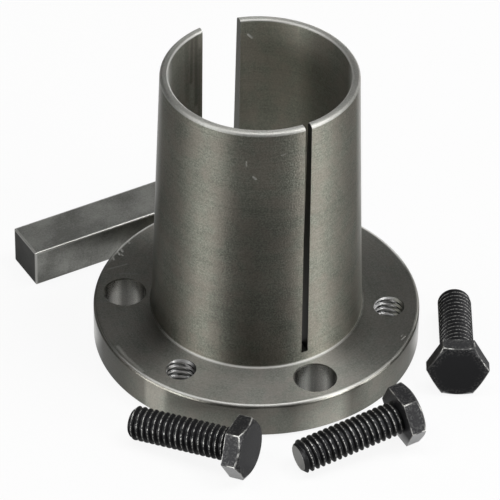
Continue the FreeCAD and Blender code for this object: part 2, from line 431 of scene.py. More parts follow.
class Group(Nodes):
    """New node group: a number gives a socket its type and default, and a word its type alone."""

    def __init__(self, name, kind, inputs, outputs):
        super().__init__(bpy.data.node_groups.new(name, kind))
        for direction, sockets in (("INPUT", inputs), ("OUTPUT", outputs)):
            for label, value in sockets.items():
                socket_type = NUMBERS.get(type(value), value)
                socket = self.tree.interface.new_socket(
                    name=label, in_out=direction, socket_type=socket_type)
                if socket_type != value:
                    socket.default_value = value
        self.given = self.tree.nodes.new("NodeGroupInput").outputs
        self.result = self.tree.nodes.new("NodeGroupOutput").inputs

    def put(self, name, value):
        self.fill(self.result[name], value)


def shared_tree(build):
    """The node group that this function builds on its first use."""
    name = build.__name__.replace("_", " ").capitalize()
    return bpy.data.node_groups.get(name) or build(name)


# Geometry Nodes

def geometry_group(name, inputs):
    return Group(name, "GeometryNodeTree", {**inputs, "Material": MATERIAL}, {"Geometry": GEOMETRY})


def end_geometry(t, geometry):
    """End a geometry tree with real copies, all in the given material."""
    real = t.node("GeometryNodeRealizeInstances", geometry)
    painted = t.node("GeometryNodeSetMaterial", inputs={
        "Geometry": real.outputs[0], "Material": t.given["Material"]})
    t.put("Geometry", painted.outputs[0])
    return t.tree


def screw_thread(name):
    """Right-handed thread as one helical band whose rows lie along its crests and grooves."""
    t = geometry_group(name, {
        "Outer Radius": 4 * MM, "Root Radius": 3.2 * MM, "Pitch": 1.41 * MM, "Crest Width": 0.2 * MM,
        "Root Width": 0.3 * MM, "Start Height": 0.0, "Turns": 10, "Steps": 72})
    given = t.given
    rows_per_turn = 4
    rows = t.add(t.times(given["Turns"], rows_per_turn), 1)
    grid = t.node("GeometryNodeMeshGrid", inputs={
        "Vertices X": t.add(given["Steps"], 1), "Vertices Y": rows})
    index = t.node("GeometryNodeInputIndex").outputs[0]
    column = t.math("FLOOR", t.divide(t.add(index, 0.5), rows))
    row = t.subtract(index, t.times(column, rows))
    part_of_turn = t.divide(column, given["Steps"])
    turn = t.math("FLOOR", t.divide(t.add(row, 0.5), rows_per_turn))
    phase = t.subtract(row, t.times(turn, rows_per_turn))
    flats = t.add(given["Crest Width"], given["Root Width"])
    flank = t.divide(t.subtract(given["Pitch"], flats), 2)

    def by_phase(*values):
        switch = t.node("GeometryNodeIndexSwitch", data_type="FLOAT")
        while len(switch.index_switch_items) < rows_per_turn:
            switch.index_switch_items.new()
        for socket, value in zip(switch.inputs, (phase, *values)):
            t.fill(socket, value)
        return switch.outputs[0]

    rise = by_phase(0.0, given["Crest Width"], t.add(given["Crest Width"], flank),
                    t.subtract(given["Pitch"], flank))
    radius = by_phase(*[given["Outer Radius"]] * 2, *[given["Root Radius"]] * 2)
    angle = t.times(part_of_turn, 2 * math.pi)
    climb = t.times(t.add(turn, part_of_turn), given["Pitch"])
    place = t.joined(t.times(radius, t.math("COSINE", angle)), t.times(radius, t.math("SINE", angle)),
                     t.add(t.add(climb, rise), given["Start Height"]))
    band = t.node("GeometryNodeSetPosition", inputs={"Geometry": grid.outputs["Mesh"], "Position": place})
    merged = t.node("GeometryNodeMergeByDistance", inputs={
        "Geometry": band.outputs[0], "Distance": 0.002 * MM})
    return end_geometry(t, merged.outputs[0])


def ring_of_cutters(name):
    """Copies of one solid on evenly spaced points of a circle."""
    t = geometry_group(name, {
        "Solid": OBJECT, "Circle Radius": 31 * MM, "Count": 3, "First Angle": 0.0})
    circle = t.node("GeometryNodeMeshCircle", inputs={
        "Vertices": t.given["Count"], "Radius": t.given["Circle Radius"]})
    turned = t.node("GeometryNodeTransform", inputs={
        "Geometry": circle.outputs[0], "Rotation": t.joined(0.0, 0.0, t.given["First Angle"])})
    copied = t.node("GeometryNodeObjectInfo", inputs={"Object": t.given["Solid"]})
    copies = t.node("GeometryNodeInstanceOnPoints", inputs={
        "Points": turned.outputs[0], "Instance": copied.outputs["Geometry"]})
    return end_geometry(t, copies.outputs[0])


def from_tree(name, build, values):
    """Piece with the plain mesh that a geometry tree makes from these inputs."""
    piece = new_object(name)
    modifier = piece.modifiers.new("nodes", "NODES")
    modifier.node_group = shared_tree(build)
    sockets = {item.name: item.identifier for item in modifier.node_group.interface.items_tree
               if item.item_type == "SOCKET" and item.in_out == "INPUT"}
    for label, value in values.items():
        modifier[sockets[label]] = value
    bake_modifiers(piece)
    return piece


def threaded_rod(name, radii, widths, low, high, material, phase=0.0):
    """Closed threaded rod that covers at least the heights from low to high.

    It takes the crest's and root's radii and widths; the phase raises its thread, in turns.
    """
    def close_ends(bm):
        edges = [edge for edge in bm.edges if edge.is_boundary]
        caps = bmesh.ops.holes_fill(bm, edges=edges, sides=0)["faces"]
        for vert in bmesh.ops.poke(bm, faces=caps)["verts"]:
            vert.co.x = vert.co.y = 0
        bmesh.ops.recalc_face_normals(bm, faces=bm.faces)

    sizes = settings().thread
    spare = 1.3
    piece = from_tree(name, screw_thread, {
        "Outer Radius": radii[0], "Root Radius": radii[1],
        "Crest Width": widths[0], "Root Width": widths[1], "Pitch": sizes.pitch,
        "Start Height": low - (spare - phase) * sizes.pitch,
        "Turns": math.ceil((high - low) / sizes.pitch) + 2,
        "Steps": sizes.steps, "Material": material})
    edit_mesh(piece.data, close_ends)
    return piece


def on_bolt_circle(cutter, first_angle, material):
    """Three copies of a cutter round the bolt circle, as one solid; the single one is used up."""
    piece = from_tree(cutter.name + "s", ring_of_cutters, {
        "Solid": cutter, "Circle Radius": settings().bushing.bolt_circle, "Count": 3,
        "First Angle": math.radians(first_angle), "Material": material})
    remove_object(cutter)
    return piece


# Shader effects that several finishes share

def shader_group(name, inputs, *outputs):
    """New effect that reads a place, with more named numbers, and puts out numbers."""
    return Group(name, "ShaderNodeTree", {"Position": VECTOR, **inputs}, dict.fromkeys(outputs, 0.0))


def turning_marks(name):
    """Fine rings left by the lathe tool, from radius and height about the Z axis."""
    t = shader_group(name, {"Marks per Metre": 2500.0, "Waver": 0.4}, "Height", "Streaks")
    x, y, z = t.parts(t.given["Position"])
    across = t.times(t.hypotenuse(x, y), t.given["Marks per Metre"])
    along = t.times(z, t.given["Marks per Metre"])
    waver = t.times(t.math("COSINE", t.math("ARCTAN2", y, x)), t.given["Waver"])
    place = t.joined(across, along, waver)
    t.put("Height", t.noise(place, 1.0, 2.0, 0.6))
    t.put("Streaks", t.noise(place, 0.11, 1.0, 0.5))
    return t.tree


def mottle(name):
    """Soft patches with a fine grain over them, as a mask from 0 to 1 and a height."""
    t = shader_group(name, {"Patches per Metre": 60.0, "Grains per Metre": 2200.0, "Contrast": 1.0},
                     "Patches", "Grain")
    patches = t.noise(t.given["Position"], t.given["Patches per Metre"], 4.0, 0.55)
    centred = t.times(t.subtract(patches, 0.5), t.given["Contrast"])
    t.put("Patches", t.add(t.times(centred, 2.5), 0.5, clamp=True))
    t.put("Grain", t.noise(t.given["Position"], t.given["Grains per Metre"], 2.0, 0.6))
    return t.tree


def stroke_mask(name):
    """Mask of one stroke between two points: 1 along its middle, fading out at half its width."""
    t = shader_group(name, {"Start": VECTOR, "End": VECTOR, "Half Width": 0.2 * MM}, "Mask")
    along = t.vector("SUBTRACT", t.given["End"], t.given["Start"])
    away = t.vector("SUBTRACT", t.given["Position"], t.given["Start"])
    share = t.math("DIVIDE", t.vector("DOT_PRODUCT", away, along),
                   t.vector("DOT_PRODUCT", along, along), clamp=True)
    gap = t.vector("DISTANCE", away, t.vector("SCALE", along, Scale=share))
    half = t.given["Half Width"]
    t.put("Mask", t.spread(gap, 1.0, 0.0, t.times(half, 0.3), half))
    return t.tree


def ring_wear(name):
    """Mask of a ring round the Z axis, for rubbed wear with a painted highlight: 1 on the ring, fading out at
    its width.
    """
    t = shader_group(name, {"Radius": 38 * MM, "Height": 9 * MM, "Width": 0.4 * MM}, "Mask")
    x, y, z = t.parts(t.given["Position"])
    away = t.hypotenuse(t.subtract(t.hypotenuse(x, y), t.given["Radius"]),
                        t.subtract(z, t.given["Height"]))
    t.put("Mask", t.spread(away, 1.0, 0.0, 0.0, t.given["Width"]))
    return t.tree


def round_the_axis(name):
    """How far a place lies in front of the axis or behind it: 1 there, 0 aside, less than 0 opposite."""
    t = shader_group(name, {}, "In Front", "Behind")
    level = t.vector("MULTIPLY", t.given["Position"], (1.0, 1.0, 0.0))
    behind = t.vector("DOT_PRODUCT", t.vector("NORMALIZE", level), (-ACROSS[1], ACROSS[0], 0.0))
    t.put("In Front", t.times(behind, -1.0))
    t.put("Behind", behind)
    return t.tree


def edge_wear(t, distances, width):
    """Mask of the places where two of a piece's faces meet: the second nearest is within the width."""
    nearest, second = distances[0], 1.0
    for distance in distances[1:]:
        second = t.least(second, t.most(nearest, distance))
        nearest = t.least(nearest, distance)
    return t.spread(second, 1.0, 0.0, t.times(width, 0.4), width)


def bar_wear(name):
    """Worn edges of a bar that lies along its own X axis, on the ground."""
    t = shader_group(name, {"Length": 0.0, "Height": 0.0, "Width": 0.0, "Reach": 0.0}, "Mask")
    x, y, z = t.parts(t.given["Position"])
    distances = [t.subtract(t.divide(t.given["Length"], 2), t.absolute(x)),
                 t.subtract(t.divide(t.given["Height"], 2), t.absolute(y)),
                 t.subtract(t.given["Width"], z)]
    t.put("Mask", edge_wear(t, distances, t.given["Reach"]))
    return t.tree


def screw_wear(name):
    """Places of a cap screw about its own axis: worn places (the head's edges, the thread's crests, the tip),
    and the head and its underside, where a painted reflection of the ground is laid.
    """
    t = shader_group(name, {
        "Flat": 0.0, "Head Height": 0.0, "Face Radius": 0.0, "Bevel Slope": 0.0, "Edge": 0.0,
        "Crest Radius": 0.0, "Crest Depth": 0.0, "Length": 0.0,
    }, "Head", "Near Edge", "On Head", "Underside", "Crests", "Tip")
    given = t.given
    x, y, z = t.parts(given["Position"])
    radius = t.hypotenuse(x, y)
    distances = []
    for side in (30, 90, 150):
        across = t.add(t.times(x, math.cos(math.radians(side))), t.times(y, math.sin(math.radians(side))))
        distances.append(t.subtract(given["Flat"], t.absolute(across)))
    below_top = t.subtract(given["Head Height"], z)
    dropped = t.times(t.subtract(radius, given["Face Radius"]), given["Bevel Slope"])
    # the round face and the bevel count as one, so that the circle between them stays dark
    distances += [t.least(below_top, t.subtract(below_top, dropped)), t.absolute(z)]
    skin = 0.05 * MM
    on_head = t.math("GREATER_THAN", z, -skin)
    t.put("On Head", on_head)
    t.put("Underside", t.times(on_head, t.math("LESS_THAN", z, skin)))
    t.put("Head", t.times(on_head, edge_wear(t, distances, given["Edge"])))
    t.put("Near Edge", t.times(on_head, edge_wear(t, distances, 2 * MM)))
    inner = t.subtract(given["Crest Radius"], given["Crest Depth"])
    crest = t.spread(radius, 0.0, 1.0, inner, given["Crest Radius"])
    t.put("Crests", t.times(t.subtract(1.0, on_head), crest))
    t.put("Tip", t.math("LESS_THAN", z, t.subtract(0.02 * MM, given["Length"])))
    return t.tree


class Finish(Nodes):
    """One material under construction, with its Principled BSDF."""

    def __init__(self, name):
        self.material = bpy.data.materials.new(name)
        self.material.use_nodes = True
        super().__init__(self.material.node_tree)
        self.bsdf = self.tree.nodes["Principled BSDF"]
        self.place = self.node("ShaderNodeTexCoord").outputs["Object"]
        self.height = self.parts(self.place)[2]
        self.normal = self.node("ShaderNodeNewGeometry").outputs["Normal"]

    def group(self, build, **values):
        """Outputs of a shared effect, at this place unless its Position is given."""
        inputs = {"Position": self.place}
        inputs.update((key.replace("_", " "), value) for key, value in values.items())
        return self.node("ShaderNodeGroup", node_tree=shared_tree(build), inputs=inputs).outputs

    def mix(self, factor, first, second):
        """Colour between two colours or colour sockets."""
        node = self.node("ShaderNodeMix", factor, data_type="RGBA")
        for place, colour in ((6, first), (7, second)):
            plain = not isinstance(colour, bpy.types.NodeSocket)
            self.fill(node.inputs[place], (*colour, 1.0) if plain else colour)
        return node.outputs[2]

    def own_place(self):
        """Place in the piece's own frame, as it was before the piece was laid down."""
        return self.node("ShaderNodeAttribute", attribute_name="own_place").outputs["Vector"]

    def bands(self, stops):
        """Painted light and shade: brightness by which way a round wall faces, in upright bands that stand in
        for the lamps' reflections.
        """
        across = self.vector("DOT_PRODUCT", self.normal, ACROSS)
        ramp = self.node("ShaderNodeValToRGB", self.spread(across, 0.0, 1.0, -1.0))
        elements = ramp.color_ramp.elements
        while len(elements) < len(stops):
            elements.new(0.5)
        for element, (place, share) in zip(elements, stops):
            element.position = place
            element.color = (share, share, share, 1.0)
        return ramp.outputs[0]

    def strokes(self, rows):
        """Mask of strokes on the surface, each given by both ends, half its width and its strength."""
        whole = 0.0
        for start, end, width, strength in rows:
            stroke = self.group(stroke_mask, Start=Vector(start) * MM, End=Vector(end) * MM,
                                Half_Width=width * MM)
            whole = self.most(whole, self.times(stroke["Mask"], strength))
        return whole

    def set(self, name, value):
        self.fill(self.bsdf.inputs[name], value)

    def set_bump(self, height, distance):
        bump = self.node("ShaderNodeBump", inputs={
            "Strength": 1.0, "Distance": distance, "Height": height})
        self.set("Normal", bump.outputs[0])


# Finish of each turned region: roughness from and to, stretch of its highlights, share of full
# brightness, strength of its grain, how far its colour is a plain grey. The share of full brightness is
# painted light: it lifts the rim, nose, bore and hole walls and darkens the cut faces and the slit to
# stand in for how light falls on each; in the slit the darkness is partly painted shade and partly a
# dull sawn finish
TURNED_REGIONS = {
    "turned_barrel": (0.40, 0.50, 0.90, 1.21, 1.3, 0.0),
    "faced_flange": (0.44, 0.56, 0.90, 1.07, 0.8, 0.4),
    "turned_rim": (0.26, 0.36, 0.80, 2.6, 0.7, 0.2),
    "nose_ring": (0.46, 0.56, 0.60, 2.0, 0.6, 0.6),
    "bored_steel": (0.50, 0.62, 0.45, 2.2, 0.8, 0.1),
    "drilled_steel": (0.22, 0.34, 0.0, 3.2, 0.3, 0.6),
    "tapped_steel": (0.26, 0.38, 0.0, 2.8, 0.3, 0.9),
    "cut_steel": (0.36, 0.50, 0.0, 0.45, 0.5, 0.2),
    "sawn_slit": (0.50, 0.60, 0.0, 0.30, 0.3, 0.3),
}
# Direction to the camera's right, along which the painted light bands and the rings' painted highlight are
# laid
ACROSS = (0.8965, -0.4431, 0.0)
# Painted light and shade in upright bands on round walls, standing in for the lamps' reflections: which
# way the wall faces, from 0 to 1 across, and its share of brightness
PAINTED_LIGHT_BANDS = {
    "turned_rim": ((0.0, 0.15), (0.10, 0.24), (0.165, 0.42), (0.175, 0.75), (0.225, 0.78), (0.24, 0.56),
                   (0.30, 0.54), (0.45, 0.36), (0.50, 0.35), (0.62, 0.44), (0.69, 0.85), (0.755, 0.95),
                   (0.79, 0.45), (0.88, 0.42), (1.0, 0.34)),
    "bored_steel": ((0.0, 0.42), (0.12, 0.50), (0.20, 0.60), (0.29, 1.0), (0.45, 0.82), (0.60, 0.80),
                    (0.85, 0.58), (1.0, 0.55)),
    "drilled_steel": ((0.04, 0.10), (0.13, 0.36), (0.23, 0.85), (0.34, 0.55), (0.48, 0.34), (0.58, 0.38),
                      (0.70, 0.95), (0.80, 0.80), (0.88, 0.45), (0.95, 0.10)),
    "tapped_steel": ((0.0, 0.04), (0.15, 0.08), (0.25, 0.45), (0.35, 0.95), (0.5, 1.0), (0.8, 0.9),
                     (0.92, 0.3), (1.0, 0.15)),
    "turned_barrel": ((0.0, 0.65), (0.08, 0.80), (0.17, 0.84), (0.22, 1.0), (0.27, 0.95), (0.31, 0.82),
                      (0.36, 0.71), (0.45, 0.64), (0.50, 0.59), (0.55, 0.62), (0.62, 0.72), (0.69, 0.84),
                      (0.78, 0.90), (0.90, 0.87), (1.0, 0.78)),
}
# Heights in millimetres between which the barrel's painted light bands fade, and the even share above them
PAINTED_BAND_FADE = (46, 60, 0.87)
# Heights in millimetres between which the painted reflection of the ground on the barrel's outlines grows to
# full
PAINTED_REFLECTION_RISE = (25, 45)
# Scratches and small dents: both ends and half the width in millimetres, strength
BARREL_MARKS = (
    ((6.56, 19.57, 70.56), (7.33, 19.30, 69.66), 0.42, 1.4),
    ((-11.20, -19.98, 63.05), (-10.65, -20.30, 62.48), 0.34, 0.75),
    ((-12.52, -19.05, 67.00), (-12.48, -19.05, 65.90), 0.26, 0.45),
    ((-5.30, -22.10, 68.62), (-4.30, -22.32, 68.92), 0.22, 0.4),
)
# The same on the flange's upper face, without the height; the last two are one rubbed patch
FLANGE_MARKS = (
    ((-26.89, 24.86), (-22.06, 24.68), 0.26, 0.35),
    ((-25.23, 22.24), (-21.46, 20.29), 0.20, 0.2),
    ((-21.03, 30.43), (-21.06, 29.41), 0.42, 0.8),
    ((-22.21, 29.72), (-22.20, 28.69), 0.38, 0.9),
    ((-21.77, 28.49), (-21.60, 27.99), 0.32, 0.7),
    ((-24.05, 28.40), (-24.15, 27.51), 0.38, 0.8),
    ((-18.20, 32.30), (-18.30, 31.60), 0.34, 0.6),
    ((24.20, -27.20), (25.40, -26.60), 0.26, 0.8),
    ((24.60, -26.20), (25.00, -25.90), 0.22, 0.7),
    ((-36.40, -2.00), (-36.10, -6.56), 0.60, 0.40),
    ((-36.10, -6.56), (-34.90, -12.30), 0.60, 0.36),
)
MARKS = BARREL_MARKS + tuple(
    ((*start, FLANGE_TOP), (*end, FLANGE_TOP), width, strength)
    for start, end, width, strength in FLANGE_MARKS)
# Dark runs of oil on the bore's wall beside the keyway, with the same columns as the barrel's marks
OIL_RUNS = (
    ((-9.51, 18.32, 73.9), (-9.32, 18.42, 58.0), 1.30, 0.22),
    ((-7.91, 19.06, 73.9), (-8.20, 18.94, 62.0), 0.80, 0.38),
    ((-6.69, 19.52, 73.9), (-6.49, 19.59, 55.0), 0.90, 0.40),
    ((-5.70, 19.83, 70.0), (-5.65, 19.85, 50.0), 0.70, 0.30),
)


def worn_rings(s):
    """Rubbed rings on the bushing, partly wear and partly a painted highlight that is stronger in front or
    behind than aside: radius, height, width, strength in front, aside and behind.
    """
    top, thick = s.total_length, s.flange_thickness
    nose = s.taper_radius - s.taper_slope * (top - thick)
    return (
        (s.flange_radius - 0.75 * s.flange_bevel, thick - 0.25 * s.flange_bevel, 0.45 * MM, 1.0, 0.25, 0.8),
        (s.flange_radius - 1.2 * s.flange_bevel, thick, 0.48 * MM, 0.0, 0.0, 1.5),
        (s.taper_radius + 0.25 * s.root_radius, thick + 0.25 * s.root_radius, 0.42 * MM, 1.0, 0.05, 1.0),
        (nose - 0.3 * s.nose_radius, top - 0.3 * s.nose_radius, 0.32 * MM, 0.6, 0.1, 0.6),
        (s.bore_radius + s.bore_bevel / 2, top - s.bore_bevel / 2, 0.35 * MM, 0.9, 0.9, 0.9),
    )


def turned_colour(finish, name, marks, patches):
    """Colour of a turned region: soft grey patches, fine rings, reddish stains, its painted light level, and
    on some regions painted light and shade in upright bands.
    """
    colours = settings().finishes
    level, grain, grey = TURNED_REGIONS[name][3:]
    stains = finish.group(mottle, Patches_per_Metre=210.0, Grains_per_Metre=900.0, Contrast=2.2)
    tone = finish.add(finish.times(patches["Patches"], 0.30), finish.times(marks["Streaks"], 0.25))
    tone = finish.add(tone, finish.spread(marks["Height"], -0.35 * grain, 0.35 * grain))
    grains = finish.spread(patches["Grain"], 0.2 - 1.2 * grain, 0.2 + 1.2 * grain)
    tone = finish.add(tone, grains, clamp=True)
    # the level lifts or darkens the region's colour as painted light for how light falls on it
    dark, light, tinted = (
        [level * (channel + (colour[1] * 0.97 - channel) * grey) for channel in colour]
        for colour in (colours.turned_dark, colours.turned, colours.tinted))
    base = finish.mix(finish.times(stains["Patches"], 0.35), finish.mix(tone, dark, light), tinted)
    # painted light and shade: upright bands of brightness by which way the wall faces
    if name in PAINTED_LIGHT_BANDS:
        bands = finish.bands(PAINTED_LIGHT_BANDS[name])
        if name == "turned_barrel":
            low, high, share = PAINTED_BAND_FADE
            towards_nose = finish.spread(finish.height, 0.0, 1.0, low * MM, high * MM)
            bands = finish.mix(towards_nose, bands, (share, share, share))
        base = finish.mix(bands, (0.0, 0.0, 0.0), base)
    if name == "bored_steel":
        base = finish.mix(finish.strokes(OIL_RUNS), base, colours.oily)
    return base


def turned_steel(name):
    """Satin turned steel with its tool marks, rubbed edges, scratches and small dents, and painted light:
    upright bands on some regions, a highlight on the rubbed rings, and a pale colour where it is seen at a
    grazing angle.
    """
    smooth, coarse, stretch, _, grain, _ = TURNED_REGIONS[name]
    finish = Finish(name)
    marks = finish.group(turning_marks, Marks_per_Metre=2600.0, Waver=0.6)
    patches = finish.group(mottle, Patches_per_Metre=55.0, Grains_per_Metre=2600.0)
    base = turned_colour(finish, name, marks, patches)
    scars = finish.strokes(MARKS)
    worn = finish.times(scars, finish.spread(patches["Grain"], 0.5, 1.1))
    # the rings' bare colour is partly wear and partly a painted highlight, stronger in front of and behind
    # the axis than aside
    around = finish.group(round_the_axis)
    for radius, height, width, front, aside, behind in worn_rings(settings().bushing):
        ring = finish.group(ring_wear, Radius=radius, Height=height, Width=width)
        share = finish.most(finish.spread(around["In Front"], aside, front, 0.45, 0.85),
                            finish.spread(around["Behind"], aside, behind, 0.30, 0.50))
        worn = finish.most(worn, finish.times(ring["Mask"], share))
    base = finish.mix(finish.times(worn, 0.8), base, settings().finishes.bare)
    # painted reflection: steel seen at a grazing angle is given a pale colour, standing in for the white
    # ground behind it
    facing = finish.node("ShaderNodeLayerWeight", 0.5).outputs["Facing"]
    painted_grazing_reflection = finish.spread(facing, 0.0, 0.6, 0.75, 0.92)
    if name == "turned_barrel":
        # the painted reflection fades out towards the barrel's foot, where the flange hides that ground
        low, high = PAINTED_REFLECTION_RISE
        painted_grazing_reflection = finish.times(painted_grazing_reflection, finish.spread(finish.height, 0.1, 1.0, low * MM, high * MM))
    finish.set("Base Color", finish.mix(painted_grazing_reflection, base, (0.85, 0.85, 0.83)))
    # rubbed steel scatters light
    finish.set("Metallic", finish.spread(worn, 1.0, 0.55))
    finish.set("Roughness", finish.spread(patches["Grain"], smooth, coarse))
    raised = finish.add(finish.times(marks["Height"], 0.7), patches["Grain"])
    finish.set_bump(finish.subtract(raised, finish.times(scars, 1.5)), 0.045 * grain * MM)
    if stretch:
        finish.set("Anisotropic", stretch)
        finish.set("Anisotropic Rotation", 0.25)
        tangent = finish.node("ShaderNodeTangent", direction_type="RADIAL", axis="Z")
        finish.set("Tangent", tangent.outputs[0])
    return finish.material


def drawn_steel(name):
    """Cold drawn bar: dull grey with stains, or the darker sawn end of the bar."""
    colours = settings().finishes
    s = settings().key
    finish = Finish(name)
    patches = finish.group(mottle, Patches_per_Metre=90.0, Grains_per_Metre=2400.0, Contrast=1.6)
    worn = finish.group(bar_wear, Position=finish.own_place(), Length=s.length,
                        Height=s.height, Width=s.width, Reach=0.60 * MM)
    darker = 0.25 if name == "sawn_end" else 1.0
    tone = finish.add(finish.times(patches["Patches"], 0.8),
                      finish.spread(patches["Grain"], -0.6, 0.8), clamp=True)
    base = finish.mix(tone, [darker * channel for channel in colours.drawn_dark],
                      [darker * channel for channel in colours.drawn])
    finish.set("Base Color", finish.mix(finish.times(worn["Mask"], 0.9), base, colours.bare))
    finish.set("Metallic", 1.0)
    finish.set("Roughness", finish.spread(patches["Grain"], 0.32, 0.5))
    finish.set_bump(patches["Grain"], 0.02 * MM)
    return finish.material


def black_oxide(name):
    """Black oxide with rubbed crests and edges, and a painted reflection of the ground on the flats that face
    it and on the head's underside.
    """
    colours = settings().finishes
    s, thread = settings().screw, settings().thread
    finish = Finish(name)
    patches = finish.group(mottle, Patches_per_Metre=420.0, Grains_per_Metre=3500.0, Contrast=3.0)
    scuffs = finish.group(mottle, Patches_per_Metre=2200.0, Grains_per_Metre=3500.0, Contrast=2.5)
    worn = finish.group(screw_wear, Position=finish.own_place(),
                        Flat=s.head_across / 2, Head_Height=s.head_height, Face_Radius=s.head_face / 2,
                        Bevel_Slope=math.tan(s.head_bevel), Edge=0.26 * MM,
                        Crest_Radius=thread.outer_radius, Crest_Depth=0.07 * MM, Length=s.length)
    edges = finish.times(worn["Head"], finish.spread(patches["Patches"], 0.12, 0.9, 0.25, 0.95))
    crests = finish.times(worn["Crests"], finish.spread(scuffs["Patches"], 0.05, 0.75, 0.3, 0.8))
    specks = finish.times(worn["Near Edge"], finish.spread(scuffs["Patches"], 0.0, 0.09, 0.6, 1.0))
    rubbed = finish.most(finish.most(edges, crests), specks)
    rubbed = finish.most(rubbed, finish.times(worn["Tip"], 0.55))
    base = finish.mix(finish.times(rubbed, 0.8), colours.oxide, colours.bare)
    # painted reflection: a flat that faces the ground, and the head's underside close to the ground, are
    # given a near-white metal colour that stands in for the ground they reflect
    upward = finish.parts(finish.normal)[2]
    flats = finish.times(finish.spread(upward, 1.0, 0.0, -0.5, -0.3), worn["On Head"])
    underside = finish.times(finish.spread(finish.height, 0.9, 0.0, 0.8 * MM, 3.8 * MM), worn["Underside"])
    painted_ground_reflection = finish.most(flats, underside)
    finish.set("Base Color", finish.mix(finish.times(painted_ground_reflection, 0.95), base, (0.95, 0.95, 0.95)))
    finish.set("Metallic", finish.most(finish.spread(rubbed, 0.3, 1.0), painted_ground_reflection))
    finish.set("Roughness", finish.spread(patches["Grain"], 0.30, 0.48))
    finish.set("Specular IOR Level", 0.32)
    finish.set_bump(patches["Grain"], 0.02 * MM)
    return finish.material


OTHER_FINISHES = {"drawn_steel": drawn_steel, "sawn_end": drawn_steel, "rubbed_black_oxide": black_oxide}


def finish_called(name):
    """The material of this name, made once."""
    make = OTHER_FINISHES.get(name, turned_steel)
    return bpy.data.materials.get(name) or make(name)


def keep_own_place(piece):
    """Store each point's place in the piece's own frame, before the piece is laid down."""
    mesh = piece.data
    places = mesh.attributes.new("own_place", "FLOAT_VECTOR", "POINT")
    places.data.foreach_set("vector", [value for vert in mesh.vertices for value in vert.co])


def give_finishes(piece, node, names, choose=None):
    """Finish the piece, each face by the name that choose gives it, and put it in the CAD node's place."""
    mesh = piece.data
    mesh.materials.clear()
    for name in names:
        mesh.materials.append(finish_called(name))
    picks = [names.index(choose(face)) if choose else 0 for face in mesh.polygons]
    mesh.polygons.foreach_set("material_index", picks)
    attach(piece, "root")
    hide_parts(node)


# Pieces

def softened(ends, breaks):
    """Points of a chain of corners, each softened by its own width; the two ends are left out."""
    points = []
    for before, corner, after, width in zip(ends, ends[1:], ends[2:], breaks):
        points += soften_corner(before, corner, after, width)
    return points


def bushing_section(s):
    """Section of the turned bushing, from the bore's lower mouth round to its upper one."""
    top, thick, bevel, bore = s.total_length, s.flange_thickness, s.flange_bevel, s.bore_bevel
    slope, root, nose = s.taper_slope, s.root_radius, s.nose_radius
    tilt = math.degrees(math.atan(slope))
    middle, inset = (s.bore_radius, top / 2), 2 * MM
    flange = [
        middle, (s.bore_radius, bore), (s.bore_radius + bore, 0),
        (s.flange_radius - bevel, 0), (s.flange_radius, bevel),
        (s.flange_radius, thick - bevel), (s.flange_radius - bevel, thick),
        (s.taper_radius + root, thick),
    ]
    points = [(s.bore_radius, inset)] + softened(flange, [s.edge_break] * 4 + [s.rim_break] * 2)
    points += arc((s.taper_radius + root * (1 - slope), thick + root), root, 270, 180 + tilt, ARC_STEPS)
    for share in (0.02, 0.25, 0.5, 0.75, 0.98):
        height = thick + root + (top - thick - root - nose) * share
        points.append((s.taper_radius - slope * (height - thick), height))
    nose_radius = s.taper_radius - slope * (top - thick)
    centre = (nose_radius - nose * (1 - slope), top - nose)
    points += arc(centre, nose, tilt, 90, ARC_STEPS)
    mouth = [(centre[0], top), (s.bore_radius + bore, top), (s.bore_radius, top - bore), middle]
    return points + softened(mouth, [s.edge_break] * 2) + [(s.bore_radius, top - inset)]


# Angle of the first hole of each kind round the bolt circle, in degrees
CLEARANCE_ANGLE, TAPPED_ANGLE = 30, 90


def bushing_region(s):
    """Function that says which of the turned finishes a face of the bushing has."""
    skin, steep, level, lip, thick = 0.05 * MM, 0.6, 0.9, 0.3, s.flange_thickness

    def hole_at(centre):
        """Number of the sixth of the bolt circle whose hole this place lines, or None."""
        sixth = round((math.degrees(math.atan2(centre.y, centre.x)) - CLEARANCE_ANGLE) / 60)
        x, y = on_circle(s.bolt_circle, CLEARANCE_ANGLE + 60 * sixth)
        aside = math.hypot(centre.x - x, centre.y - y)
        return sixth if aside < s.clearance_radius + s.clearance_bevel else None

    def choose(face):
        centre, normal = face.center, face.normal
        radius = math.hypot(centre.x, centre.y)
        outward = (centre.x * normal.x + centre.y * normal.y) / radius
        past_bore = radius > s.bore_radius + 0.5 * MM
        if abs(normal.z) > level and abs(centre.z - thick) < skin or centre.z < skin:
            return "faced_flange"
        if centre.z < thick and hole_at(centre) is not None:
            # an upward lip of a plain hole takes the darker cut steel level, a painted shade that keeps a
            # glint off it
            plain = "cut_steel" if normal.z > lip else "drilled_steel"
            return "tapped_steel" if hole_at(centre) % 2 else plain
        if outward > steep and radius > s.flange_radius - 1 * MM:
            return "turned_rim"
        if centre.z > s.total_length - s.nose_radius:
            return "nose_ring"
        if centre.z > thick and outward > steep and past_bore:
            return "turned_barrel"
        if outward < -steep and not past_bore:
            return "bored_steel"
        if centre.y < 0 and centre.z > thick:
            return "sawn_slit"
        return "cut_steel"
    return choose


